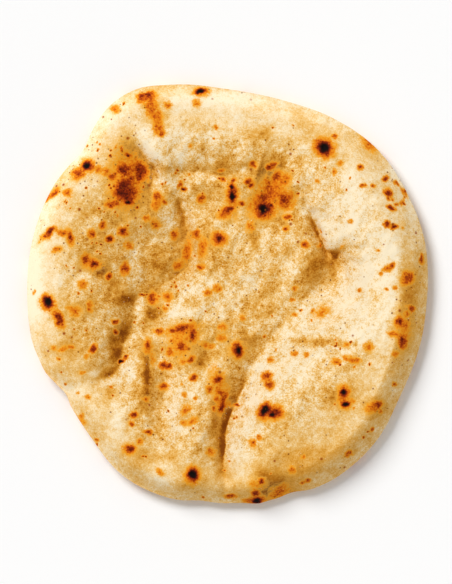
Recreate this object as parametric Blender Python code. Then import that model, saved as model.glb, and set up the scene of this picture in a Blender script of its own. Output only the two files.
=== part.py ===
"""A hand-stretched pizza base: one puffy, unevenly round flatbread that lies on its flat underside.

Lengths at the top are in millimetres, measured from the middle of the bread: +X to the right,
+Y to the far side and +Z up. Angles are in degrees, counted from +X towards +Y.
"""
import math

import bpy
import numpy as np

MM = 0.001
NODE_NAME = "pizza_base"

# The edge, seen from above: its radius every 15 degrees, and the short bulges and dents between.
EDGE_RADII = (
    127.5, 130.5, 132.0, 133.5, 131.5, 129.5,
    131.7, 139.2, 143.5, 132.5, 131.5, 130.0,
    128.5, 128.5, 123.0, 126.0, 133.7, 135.2,
    133.2, 134.2, 135.8, 133.2, 127.6, 127.0,
)
# angle, half-width in degrees, how far it stands out
EDGE_BULGES = (
    (112.0, 5.0, 1.2),
    (136.0, 4.0, -1.5),
    (203.0, 3.5, 1.5),
    (211.5, 2.5, -1.5),
    (262.0, 4.0, -1.6),
    (288.0, 3.5, -1.7),
    (278.0, 3.0, 1.2),
)
EDGE_HEIGHT = 7.5
EDGE_HEIGHT_SWAY = 1.0
TOP_EDGE_START = 0.92
BASE_EDGE_START = 0.925

# The puffed rim every 30 degrees: how high it stands over the middle, how far in from the edge
# its crest lies, how wide the slope from the crest down to the middle is, and how far in from
# the edge its outer side begins to come down, and how softly.
MIDDLE_HEIGHT = 10.5
RIM_HEIGHTS = (11.0, 10.5, 8.5, 6.0, 7.5, 10.5, 9.5, 7.0, 7.0, 8.0, 10.0, 10.5)
CREST_INSETS = (17.0, 18.0, 24.0, 27.0, 27.0, 24.0, 25.0, 24.0, 24.0, 26.0, 46.0, 36.0)
SLOPE_WIDTHS = (44.0, 46.0, 46.0, 54.0, 56.0, 50.0, 56.0, 48.0, 44.0, 50.0, 44.0, 46.0)
SLOPE_SKEW = 1.5
SHOULDER_INSETS = (18.0, 20.0, 22.0, 24.0, 22.0, 20.0, 20.0, 16.0, 14.0, 16.0, 15.5, 15.0)
SHOULDER_SKEWS = (1.3, 1.4, 1.45, 1.45, 1.45, 1.45, 1.45, 1.5, 1.9, 2.1, 1.6, 1.4)
RIM_DROOP = 10.5

# Blown-up lobes: middle x, y, half-length, half-width, direction, height.
SWELLS = (
    (38.0, -66.0, 46.0, 22.0, 66.0, 2.8),
    (77.0, 50.0, 34.0, 24.0, 115.0, 3.2),
    (46.0, 16.0, 17.0, 7.0, 58.0, 2.0),
    (-8.0, 102.0, 52.0, 15.0, -4.0, 1.5),
    (-43.0, 90.0, 15.0, 8.0, 120.0, 2.5),
    (-74.0, -78.0, 30.0, 20.0, 132.0, 1.0),
    (-26.0, -78.0, 34.0, 12.0, 84.0, 3.8),
    (-4.0, 36.0, 24.0, 16.0, 60.0, 2.2),
    (26.0, 26.0, 26.0, 12.0, 50.0, 1.6),
    (-30.0, -22.0, 26.0, 12.0, 70.0, 2.0),
    (13.0, 93.0, 9.0, 6.0, 100.0, 1.5),
    (19.5, 81.5, 10.0, 1.6, 74.0, 1.2),
)

# Folds pressed or baked into the top. Each has how round its bottom is, as a share of its slopes,
# how much its slopes bulge, and its path. Each point of a path gives x, y, the depth there, and
# how far the slopes reach to the left and to the right of the way that the path runs.
FOLDS = {
    "upper_left_valley": (0.3, 1.0, (
        (-69.0, 107.0, 0.0, 9.0, 12.0), (-64.5, 98.5, 2.0, 8.0, 14.0),
        (-58.5, 90.5, 5.0, 7.0, 17.0), (-52.5, 82.0, 7.0, 7.0, 18.0),
        (-48.5, 74.0, 5.0, 7.0, 17.0), (-49.5, 61.0, 2.5, 8.0, 15.0),
        (-52.0, 47.0, 0.0, 10.0, 14.0))),
    "under_top_lobe": (0.1, 1.0, (
        (-42.0, 78.5, 0.0, 6.0, 5.0), (-34.0, 78.0, 1.5, 8.0, 5.0),
        (-22.0, 79.0, 2.5, 12.0, 5.0), (-9.0, 77.0, 3.0, 14.0, 5.0),
        (2.0, 77.0, 2.2, 13.0, 6.0), (10.0, 81.0, 1.5, 12.0, 7.0), (14.0, 87.0, 0.0, 8.0, 8.0))),
    "top_right_fold": (0.3, 1.0, (
        (46.0, 95.0, 0.0, 8.0, 12.0), (40.0, 87.0, 2.0, 8.0, 12.0), (32.0, 78.0, 3.0, 8.0, 12.0),
        (26.0, 68.0, 3.0, 8.0, 12.0), (22.0, 59.0, 1.5, 8.0, 10.0), (18.0, 49.0, 0.0, 8.0, 8.0))),
    "middle_left_fold": (0.12, 1.0, (
        (-34.0, 68.0, 0.0, 5.0, 7.0), (-31.0, 59.0, 3.5, 5.0, 9.0),
        (-28.0, 50.0, 5.0, 5.0, 13.0), (-25.0, 39.0, 6.5, 6.0, 17.0),
        (-23.5, 28.0, 7.0, 7.0, 18.0), (-26.0, 19.0, 6.5, 9.0, 17.0),
        (-35.0, 10.0, 5.5, 12.0, 16.0), (-45.0, 4.0, 3.0, 11.0, 14.0))),
    "left_crease": (0.2, 1.0, (
        (-97.0, 28.0, 0.0, 6.0, 8.0), (-89.0, 21.0, 1.5, 6.0, 8.0), (-82.0, 15.0, 2.0, 6.0, 9.0),
        (-73.0, 7.0, 2.0, 7.0, 9.0), (-62.0, -2.0, 1.5, 7.0, 9.0))),
    "left_valley": (0.1, 1.0, (
        (-53.0, 2.0, 1.0, 8.0, 9.0), (-59.0, -3.0, 4.0, 12.0, 12.0),
        (-60.5, -12.0, 4.0, 15.0, 14.0), (-62.5, -21.0, 4.5, 18.0, 14.0),
        (-66.5, -31.0, 7.0, 20.0, 13.0), (-68.5, -42.0, 7.5, 20.0, 13.0),
        (-73.0, -50.0, 6.5, 18.0, 13.0), (-82.0, -54.5, 4.0, 16.0, 12.0),
        (-94.0, -57.0, 0.5, 12.0, 12.0), (-108.0, -62.0, 0.0, 8.0, 10.0))),
    "lower_left_valley": (0.3, 1.0, (
        (-50.0, -1.0, 1.0, 8.0, 8.0), (-47.0, -14.0, 2.0, 12.0, 9.0),
        (-45.5, -28.0, 3.0, 12.0, 9.0), (-43.0, -42.0, 4.0, 13.0, 11.0),
        (-40.5, -58.0, 4.5, 12.0, 13.0), (-39.5, -72.0, 4.5, 12.0, 14.0),
        (-40.0, -86.0, 3.5, 11.0, 13.0), (-45.0, -100.0, 1.5, 9.0, 10.0),
        (-50.0, -114.0, 0.0, 8.0, 8.0))),
    "lower_crease": (0.08, 1.3, (
        (46.0, -5.0, 0.0, 16.0, 14.0), (36.0, -18.0, 1.5, 16.0, 14.0),
        (26.0, -31.0, 3.0, 18.0, 16.0), (17.0, -45.0, 4.5, 19.0, 16.0),
        (13.0, -56.0, 5.5, 19.0, 15.0), (8.0, -65.0, 8.5, 19.0, 14.0),
        (3.0, -75.0, 11.0, 19.0, 14.0), (0.0, -87.0, 11.0, 19.0, 14.0),
        (-2.0, -101.0, 9.5, 19.0, 14.0), (-2.0, -114.0, 6.5, 16.0, 12.0),
        (-1.5, -129.0, 2.5, 12.0, 8.0))),
    "right_lobe_edge": (0.1, 1.0, (
        (48.5, 62.0, 0.0, 4.0, 4.0), (51.5, 54.0, 2.0, 3.0, 4.5), (55.5, 45.0, 4.5, 3.0, 5.0),
        (60.0, 35.5, 6.0, 3.0, 6.0), (64.0, 27.0, 6.5, 4.0, 8.0), (68.5, 20.0, 3.0, 6.0, 10.0),
        (70.0, 14.0, 0.0, 8.0, 8.0))),
    "right_lobe_hollow": (0.1, 0.75, (
        (66.5, 28.0, 3.0, 4.0, 8.0), (69.5, 24.0, 6.0, 8.0, 13.0), (71.0, 18.5, 6.5, 16.0, 16.0),
        (69.0, 12.0, 6.5, 26.0, 17.0), (62.0, 5.0, 5.5, 24.0, 15.0), (53.0, -1.0, 1.8, 16.0, 12.0),
        (44.0, -5.0, 0.0, 12.0, 10.0))),
    "right_side_fold": (0.35, 1.0, (
        (69.0, 26.0, 0.3, 9.0, 9.0), (77.0, 27.0, 0.8, 11.0, 10.0), (85.0, 30.0, 0.8, 11.0, 10.0),
        (94.0, 33.0, 0.0, 9.0, 8.0))),
    "bottom_edge_fold": (0.3, 1.0, (
        (30.0, -101.0, 0.0, 6.0, 10.0), (34.0, -113.0, 2.0, 6.0, 12.0),
        (38.0, -123.0, 3.5, 6.0, 14.0), (41.0, -133.0, 3.0, 6.0, 12.0))),
    "small_wrinkle": (0.3, 1.0, (
        (43.0, -31.0, 0.0, 4.0, 4.0), (50.0, -31.0, 1.6, 5.0, 6.0), (62.0, -31.0, 2.2, 5.0, 7.0),
        (73.0, -33.0, 1.6, 5.0, 6.0), (81.0, -36.0, 0.0, 4.0, 4.0))),
    "lower_middle_fold": (0.4, 1.0, (
        (-9.0, -28.0, 0.0, 6.0, 9.0), (-11.0, -37.0, 1.5, 6.0, 10.0),
        (-15.0, -46.0, 2.0, 6.0, 10.0), (-20.0, -55.0, 1.5, 6.0, 8.0),
        (-24.0, -63.0, 0.0, 6.0, 8.0))),
}
# How even the folds' slopes are; how sharply folds that meet join; the steps between two points
# of a path; how much more its nearest stretch counts than the others; and the smallest distance
# from it that is told apart.
FOLD_EVENNESS = 3.5
FOLD_MERGING = 2.5
PATH_STEPS = 6
NEARNESS = 6.0
SMALLEST_GAP = 0.01

# The mesh: a finely divided ball is laid out over the bread, then thinned to its facets.
BALL_SUBDIVISIONS = 7
FACETS_KEPT = 0.128

CRUST_COLOR = (0.84, 0.62, 0.34, 1.0)
CRUST_ROUGHNESS = 0.75


def around(values, angle):
    """Read values given at equal steps round the circle at any angle, along a smooth curve."""
    table = np.array(values)
    place = np.mod(angle, 2.0 * math.pi) / (2.0 * math.pi) * len(table)
    first = np.floor(place).astype(int)
    t = place - first
    before, here, after, beyond = (table[(first + k) % len(table)] for k in (-1, 0, 1, 2))
    slope_here = 0.5 * (after - before)
    slope_after = 0.5 * (beyond - here)
    return (here * (2.0 * t**3 - 3.0 * t**2 + 1.0) + slope_here * (t**3 - 2.0 * t**2 + t)
            + after * (3.0 * t**2 - 2.0 * t**3) + slope_after * (t**3 - t**2))


def edge_radius(angle):
    """Radius of the edge at each angle, with its short bulges and dents."""
    radius = around(EDGE_RADII, angle)
    for middle, half_width, height in EDGE_BULGES:
        off = np.angle(np.exp(1j * (angle - math.radians(middle)))) / math.radians(half_width)
        radius = radius + height * np.exp(-off**2)
    return radius


def smooth_step(t):
    """A soft ramp from 0 to 1."""
    t = np.clip(t, 0.0, 1.0)
    return t * t * (3.0 - 2.0 * t)


def smooth_path(points):
    """Fill in a path's hand-set points with a smooth curve through them."""
    knots = np.array(points)
    padded = np.vstack((2.0 * knots[0] - knots[1], knots, 2.0 * knots[-1] - knots[-2]))
    curve = []
    for before, here, after, beyond in zip(padded, padded[1:], padded[2:], padded[3:]):
        for t in np.arange(PATH_STEPS) / PATH_STEPS:
            curve.append(here + 0.5 * t * (after - before + t * (
                2.0 * before - 5.0 * here + 4.0 * after - beyond
                + t * (3.0 * (here - after) + beyond - before))))
    curve.append(knots[-1])
    return np.array(curve)


def swell(x, y, middle_x, middle_y, half_length, half_width, direction, height):
    """A soft, longish mound."""
    turn = math.radians(direction)
    along = (x - middle_x) * math.cos(turn) + (y - middle_y) * math.sin(turn)
    across = (y - middle_y) * math.cos(turn) - (x - middle_x) * math.sin(turn)
    return height * np.exp(-(along / half_length)**2 - (across / half_width)**2)


def fold_slope(reach, rounding, bulge):
    """How deep a fold is across its way, 1 at the bottom: slopes with rounded shoulders."""
    far = np.hypot(reach, rounding) - rounding
    even = np.log1p(np.exp(FOLD_EVENNESS * (1.0 - far))) / math.log1p(math.exp(FOLD_EVENNESS))
    return even**bulge


def fold_depth(x, y, rounding, bulge, points):
    """How deep a fold is at each place, with a slope of its own on each side."""
    curve = smooth_path(points)
    depth = np.zeros(x.shape)
    weight = np.zeros(x.shape)
    for start, end in zip(curve, curve[1:]):
        run = end[:2] - start[:2]
        length = math.hypot(*run)
        from_x = x - start[0]
        from_y = y - start[1]
        t = np.clip((from_x * run[0] + from_y * run[1]) / length**2, 0.0, 1.0)
        gap = np.maximum(np.hypot(from_x - t * run[0], from_y - t * run[1]), SMALLEST_GAP)
        leftness = 0.5 + 0.5 * (run[0] * from_y - run[1] * from_x) / (length * gap)
        bottom, left, right = (start[k] + t * (end[k] - start[k]) for k in (2, 3, 4))
        slope = fold_slope(gap / (right + (left - right) * leftness), rounding, bulge)
        share = gap**-NEARNESS
        depth += share * slope * np.maximum(bottom, 0.0)
        weight += share
    return depth / weight


def top_height(x, y):
    """Height of the bread's upper side over the surface that it lies on."""
    angle = np.arctan2(y, x)
    inset = edge_radius(angle) - np.hypot(x, y)
    crest = around(CREST_INSETS, angle)
    down = np.clip((inset - crest) / around(SLOPE_WIDTHS, angle), 0.0, 1.0)
    outer = np.clip(1.0 - inset / around(SHOULDER_INSETS, angle), 0.0, 1.0)
    height = MIDDLE_HEIGHT + around(RIM_HEIGHTS, angle) * (1.0 - smooth_step(down**SLOPE_SKEW))
    height = height - RIM_DROOP * outer**around(SHOULDER_SKEWS, angle)
    for mound in SWELLS:
        height = height + swell(x, y, *mound)
    folds = sum(fold_depth(x, y, *fold)**FOLD_MERGING for fold in FOLDS.values())
    return height - folds**(1.0 / FOLD_MERGING)


def round_edge(outward, start):
    """Lay even steps from the middle to the edge over a flat stretch and a rounded end.

    Gives how far out each step lies, 0 to 1, and how much of the full height it has there.
    """
    bend = (1.0 - start) * 0.5 * math.pi
    bend_begins = start / (start + bend)
    quarter_turn = np.clip((outward - bend_begins) / (1.0 - bend_begins), 0.0, 1.0) * 0.5 * math.pi
    flat = outward * (start + bend)
    out = np.where(outward < bend_begins, flat, start + (1.0 - start) * np.sin(quarter_turn))
    return out, np.cos(quarter_turn)


def bread_points(ball):
    """Move the points of a ball of radius 1 onto the bread, its upper half to the top."""
    angle = np.arctan2(ball[:, 1], ball[:, 0])
    outward = np.sqrt(1.0 - np.minimum(np.abs(ball[:, 2]), 1.0))
    is_top = ball[:, 2] >= 0.0
    top_out, top_part = round_edge(outward, TOP_EDGE_START)
    base_out, base_part = round_edge(outward, BASE_EDGE_START)
    radius = edge_radius(angle) * np.where(is_top, top_out, base_out)
    x = radius * np.cos(angle)
    y = radius * np.sin(angle)
    edge_height = EDGE_HEIGHT + EDGE_HEIGHT_SWAY * np.sin(2.0 * angle + 1.0)
    top = edge_height + (top_height(x, y) - edge_height) * top_part
    base = edge_height * (1.0 - base_part)
    return np.column_stack((x, y, np.where(is_top, top, base)))


def crust_material():
    """Pale baked dough, toasted and dry."""
    material = bpy.data.materials.new("baked_crust")
    material.use_nodes = True
    shader = material.node_tree.nodes["Principled BSDF"]
    shader.inputs["Base Color"].default_value = CRUST_COLOR
    shader.inputs["Roughness"].default_value = CRUST_ROUGHNESS
    shader.inputs["Metallic"].default_value = 0.0
    return material


def make_bread(collection):
    """The bread: a ball laid out over its form, centred on the middle of its box."""
    bpy.ops.mesh.primitive_ico_sphere_add(subdivisions=BALL_SUBDIVISIONS, radius=1.0)
    bread = bpy.context.object
    bread.name = NODE_NAME
    mesh = bread.data
    mesh.name = NODE_NAME
    ball = np.empty(len(mesh.vertices) * 3)
    mesh.vertices.foreach_get("co", ball)
    ball = ball.reshape(-1, 3)
    ball /= np.linalg.norm(ball, axis=1)[:, None]
    points = bread_points(ball)
    points[:, :2] -= 0.5 * (points[:, :2].min(axis=0) + points[:, :2].max(axis=0))
    mesh.vertices.foreach_set("co", (points * MM).ravel())
    mesh.update()
    mesh.shade_smooth()
    mesh.materials.append(crust_material())
    for holder in list(bread.users_collection):
        holder.objects.unlink(bread)
    collection.objects.link(bread)
    thin = bread.modifiers.new("fewer_facets", "DECIMATE")
    thin.decimate_type = "COLLAPSE"
    thin.ratio = FACETS_KEPT
    return bread


def main():
    for old in list(bpy.data.objects):
        bpy.data.objects.remove(old, do_unlink=True)
    collection = bpy.data.collections.new("pizza_base_parts")
    bpy.context.scene.collection.children.link(collection)
    make_bread(collection)


main()
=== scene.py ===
"""A hand-stretched pizza base: puffed, folded and scorched, on a pale floor in soft studio light.

Lengths are in millimetres from the middle of the bread, unless a name says otherwise: +X to the
right, +Y to the far side and +Z up. Angles are in degrees, counted from +X towards +Y.
"""
import math

import bmesh
import bpy
import numpy as np
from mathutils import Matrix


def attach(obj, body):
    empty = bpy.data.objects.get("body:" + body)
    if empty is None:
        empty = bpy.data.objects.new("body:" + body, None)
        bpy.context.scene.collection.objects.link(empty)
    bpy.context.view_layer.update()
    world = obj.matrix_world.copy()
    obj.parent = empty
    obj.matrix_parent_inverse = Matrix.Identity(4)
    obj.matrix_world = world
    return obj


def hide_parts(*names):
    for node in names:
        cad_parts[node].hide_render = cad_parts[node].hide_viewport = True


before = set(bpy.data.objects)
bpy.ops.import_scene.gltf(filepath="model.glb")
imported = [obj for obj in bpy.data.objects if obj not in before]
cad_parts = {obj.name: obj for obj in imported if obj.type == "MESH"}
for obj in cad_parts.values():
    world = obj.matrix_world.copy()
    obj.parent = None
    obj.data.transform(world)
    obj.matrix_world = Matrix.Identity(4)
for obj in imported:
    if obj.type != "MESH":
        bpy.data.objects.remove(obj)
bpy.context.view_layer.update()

MM = 0.001
SEED = 41

# The edge, seen from above: its radius every 15 degrees, and the short bulges and dents between.
EDGE_RADII = (
    127.5, 130.5, 132, 133.5, 131.5, 129.5,
    131.7, 139.2, 143.5, 132.5, 131.5, 130,
    128.5, 128.5, 123, 126, 133.7, 135.2,
    133.2, 134.2, 135.8, 133.2, 127.6, 127,
)
# angle, half-width in degrees, how far it stands out
EDGE_BULGES = (
    (112, 5, 1.2), (136, 4, -1.5), (203, 3.5, 1.5), (211.5, 2.5, -1.5),
    (262, 4, -1.6), (288, 3.5, -1.7), (278, 3, 1.2),
)
EDGE_HEIGHT = 7.5
EDGE_HEIGHT_SWAY = 1.0
TOP_EDGE_START = 0.92
BASE_EDGE_START = 0.925

# The puffed rim every 30 degrees: how high it stands over the middle, how far in from the edge
# its crest lies, how wide the slope from the crest down to the middle is, and how far in from
# the edge its outer side begins to come down, and how softly.
MIDDLE_HEIGHT = 10.5
RIM_HEIGHTS = (11, 10.5, 8.5, 6, 7.5, 10.5, 9.5, 7, 7, 8, 10, 10.5)
CREST_INSETS = (17, 18, 24, 27, 27, 24, 25, 24, 24, 26, 46, 36)
SLOPE_WIDTHS = (44, 46, 46, 54, 56, 50, 56, 48, 44, 50, 44, 46)
SLOPE_SKEW = 1.5
SHOULDER_INSETS = (18, 20, 22, 24, 22, 20, 20, 16, 14, 16, 15.5, 15)
SHOULDER_SKEWS = (1.3, 1.4, 1.45, 1.45, 1.45, 1.45, 1.45, 1.5, 1.9, 2.1, 1.6, 1.4)
RIM_DROOP = 10.5

# Blown-up lobes: middle x, y, half-length, half-width, direction, height.
SWELLS = (
    (38, -66, 46, 22, 66, 2.8), (77, 50, 34, 24, 115, 3.2), (46, 16, 17, 7, 58, 2),
    (-8, 102, 52, 15, -4, 1.5), (-43, 90, 15, 8, 120, 2.5), (-74, -78, 30, 20, 132, 1),
    (-26, -78, 34, 12, 84, 3.8), (-4, 36, 24, 16, 60, 2.2), (26, 26, 26, 12, 50, 1.6),
    (-30, -22, 26, 12, 70, 2), (13, 93, 9, 6, 100, 1.5), (19.5, 81.5, 10, 1.6, 74, 1.2),
)

# Folds pressed or baked into the top. Each has how round its bottom is, as a share of its slopes,
# how much its slopes bulge, and its path. Each point of a path gives x, y, the depth there, and
# how far the slopes reach to the left and to the right of the way that the path runs.
FOLDS = {
    "upper_left_valley": (0.3, 1, (
        (-69, 107, 0, 9, 12), (-64.5, 98.5, 2, 8, 14), (-58.5, 90.5, 5, 7, 17), (-52.5, 82, 7, 7, 18),
        (-48.5, 74, 5, 7, 17), (-49.5, 61, 2.5, 8, 15), (-52, 47, 0, 10, 14))),
    "under_top_lobe": (0.1, 1, (
        (-42, 78.5, 0, 6, 5), (-34, 78, 1.5, 8, 5), (-22, 79, 2.5, 12, 5), (-9, 77, 3, 14, 5),
        (2, 77, 2.2, 13, 6), (10, 81, 1.5, 12, 7), (14, 87, 0, 8, 8))),
    "top_right_fold": (0.3, 1, (
        (46, 95, 0, 8, 12), (40, 87, 2, 8, 12), (32, 78, 3, 8, 12), (26, 68, 3, 8, 12),
        (22, 59, 1.5, 8, 10), (18, 49, 0, 8, 8))),
    "middle_left_fold": (0.12, 1, (
        (-34, 68, 0, 5, 7), (-31, 59, 3.5, 5, 9), (-28, 50, 5, 5, 13), (-25, 39, 6.5, 6, 17),
        (-23.5, 28, 7, 7, 18), (-26, 19, 6.5, 9, 17), (-35, 10, 5.5, 12, 16), (-45, 4, 3, 11, 14))),
    "left_crease": (0.2, 1, (
        (-97, 28, 0, 6, 8), (-89, 21, 1.5, 6, 8), (-82, 15, 2, 6, 9), (-73, 7, 2, 7, 9),
        (-62, -2, 1.5, 7, 9))),
    "left_valley": (0.1, 1, (
        (-53, 2, 1, 8, 9), (-59, -3, 4, 12, 12), (-60.5, -12, 4, 15, 14), (-62.5, -21, 4.5, 18, 14),
        (-66.5, -31, 7, 20, 13), (-68.5, -42, 7.5, 20, 13), (-73, -50, 6.5, 18, 13),
        (-82, -54.5, 4, 16, 12), (-94, -57, 0.5, 12, 12), (-108, -62, 0, 8, 10))),
    "lower_left_valley": (0.3, 1, (
        (-50, -1, 1, 8, 8), (-47, -14, 2, 12, 9), (-45.5, -28, 3, 12, 9), (-43, -42, 4, 13, 11),
        (-40.5, -58, 4.5, 12, 13), (-39.5, -72, 4.5, 12, 14), (-40, -86, 3.5, 11, 13),
        (-45, -100, 1.5, 9, 10), (-50, -114, 0, 8, 8))),
    "lower_crease": (0.08, 1.3, (
        (46, -5, 0, 16, 14), (36, -18, 1.5, 16, 14), (26, -31, 3, 18, 16), (17, -45, 4.5, 19, 16),
        (13, -56, 5.5, 19, 15), (8, -65, 8.5, 19, 14), (3, -75, 11, 19, 14), (0, -87, 11, 19, 14),
        (-2, -101, 9.5, 19, 14), (-2, -114, 6.5, 16, 12), (-1.5, -129, 2.5, 12, 8))),
    "right_lobe_edge": (0.1, 1, (
        (48.5, 62, 0, 4, 4), (51.5, 54, 2, 3, 4.5), (55.5, 45, 4.5, 3, 5), (60, 35.5, 6, 3, 6),
        (64, 27, 6.5, 4, 8), (68.5, 20, 3, 6, 10), (70, 14, 0, 8, 8))),
    "right_lobe_hollow": (0.1, 0.75, (
        (66.5, 28, 3, 4, 8), (69.5, 24, 6, 8, 13), (71, 18.5, 6.5, 16, 16), (69, 12, 6.5, 26, 17),
        (62, 5, 5.5, 24, 15), (53, -1, 1.8, 16, 12), (44, -5, 0, 12, 10))),
    "right_side_fold": (0.35, 1, (
        (69, 26, 0.3, 9, 9), (77, 27, 0.8, 11, 10), (85, 30, 0.8, 11, 10), (94, 33, 0, 9, 8))),
    "bottom_edge_fold": (0.3, 1, (
        (30, -101, 0, 6, 10), (34, -113, 2, 6, 12), (38, -123, 3.5, 6, 14), (41, -133, 3, 6, 12))),
    "small_wrinkle": (0.3, 1, (
        (43, -31, 0, 4, 4), (50, -31, 1.6, 5, 6), (62, -31, 2.2, 5, 7), (73, -33, 1.6, 5, 6),
        (81, -36, 0, 4, 4))),
    "lower_middle_fold": (0.4, 1, (
        (-9, -28, 0, 6, 9), (-11, -37, 1.5, 6, 10), (-15, -46, 2, 6, 10), (-20, -55, 1.5, 6, 8),
        (-24, -63, 0, 6, 8))),
}
# How even the folds' slopes are; how sharply folds that meet join; the steps between two points
# of a path; how much more its nearest stretch counts than the others; and the smallest distance
# from it that is told apart.
FOLD_EVENNESS = 3.5
FOLD_MERGING = 2.5
PATH_STEPS = 6
NEARNESS = 6.0
SMALLEST_GAP = 0.01

# Scorched and toasted places, from char to a light stain: x, y, half-length,
# half-width, and the direction of the length, 0 where it is left out.
CHAR = (
    (-90.2, 81.9, 2.9, 2.7, 60), (61.8, 93.4, 4.6, 4, 140), (23, 54.7, 3.6, 3.2, 30),
    (-114.9, -5.1, 4.1, 3.3, 110), (-22.4, -115.8, 3.5, 3.2, 100), (24.3, -74.2, 4.7, 2.6, 62),
    (28.8, -77.8, 2.3, 1.8, 20), (73.9, -62.1, 2, 1.8, 120), (75.2, -70.7, 2.1, 2),
    (18.9, -132.5, 3.8, 1.7, 8), (-68.2, -43.2, 1.9, 1.3, 30), (2.6, 68.5, 1.9, 1.5, 80),
    (3.1, 62.1, 3.1, 1.5, 95), (-17.6, 129.3, 3.2, 1.8), (6.7, -36.5, 2.8, 1.9, 105),
    (-63.7, 58.2, 1.8, 1.5),
)
DARK = (
    (22.1, -119.4, 1.7, 1.6), (-20.8, -23.4, 1.6, 1.3, 90), (-27.8, 66.6, 1.5, 1.2, 60),
    (13.1, 72.3, 2.1, 1.8), (-71.7, -24.3, 1.7, 1.5), (-72, -17.6, 1.9, 1.5), (26.2, 81.3, 1.9, 1.7),
    (-66.9, 79.4, 4.2, 3.5), (-56.6, 79.4, 4.5, 2.9, 95), (-65.6, 70.4, 4.5, 3.8, 20),
    (-68.2, 64, 4.5, 3.8), (-63.7, 60.8, 3.8, 3.2, 120), (-51.5, 127.7, 3.5, 1.5, 15),
    (-75.5, 35.2, 2.9, 1.9, 5), (-66.9, 39.7, 3.2, 2.4, 130), (-5.1, 35.5, 1.9, 1.9), (49.6, 32, 2.2, 2.1),
    (102.7, 64.6, 2.7, 2.1, 120), (104.6, 55, 2.7, 1.2, 160), (101.1, 73.6, 1.8, 1.4, 30),
    (101.8, 44.5, 2, 1.7), (106.6, 42.9, 2, 1.5, 20), (-107.8, -16.3, 5.4, 2.8, 112),
    (-86.1, -34.9, 2.8, 2.2, 60), (-22.7, -26.9, 3.1, 1.8, 100), (-41, -45.8, 2.6, 2.2),
    (-37.1, -46.1, 2.2, 1.9), (-21.8, -53.8, 2.4, 1.9), (-6.1, -54.4, 2.7, 2.2),
    (6.7, -35.8, 4.7, 3.2, 100), (110.1, -17.9, 3.2, 2.6, 90), (112, -30.4, 4.1, 2.7, 95),
    (-59.8, -77.4, 2.4, 1.9), (-62.4, -99.2, 2.8, 2.4), (-3.5, -73, 3.2, 1.8, 80), (18.2, -127.4, 2.8, 2),
    (30.4, -76.2, 4.7, 4.1), (24, -75.2, 4.8, 3.8, 60), (74.6, -62.7, 3.8, 3.2, 90),
    (-112.3, 41, 2.6, 1.5, 30), (-84.8, 19.2, 1.7, 1.3), (-89.3, 81.9, 3.7, 3.3), (23.4, 54.4, 5.8, 5.1),
    (1.6, 54.1, 1.9, 1.3, 40), (-67.6, 92.5, 1.8, 1.1, 130), (-54.4, -0.3, 2.2, 0.8, 15),
    (-76.2, 11.2, 2.2, 1.8), (-63.7, 88.6, 2, 1.4, 150), (15.4, 69.8, 2.2, 1.5, 60), (27.8, 57, 1.5, 1.4),
    (-114.9, -5.8, 4.5, 3.8, 110), (-22.4, -115.8, 4.5, 4.1, 90), (61.8, 93.4, 5.8, 5.1, 140),
    (75.2, -70.7, 2.9, 2.8), (-17, 129.3, 4.1, 2.4),
)
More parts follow.
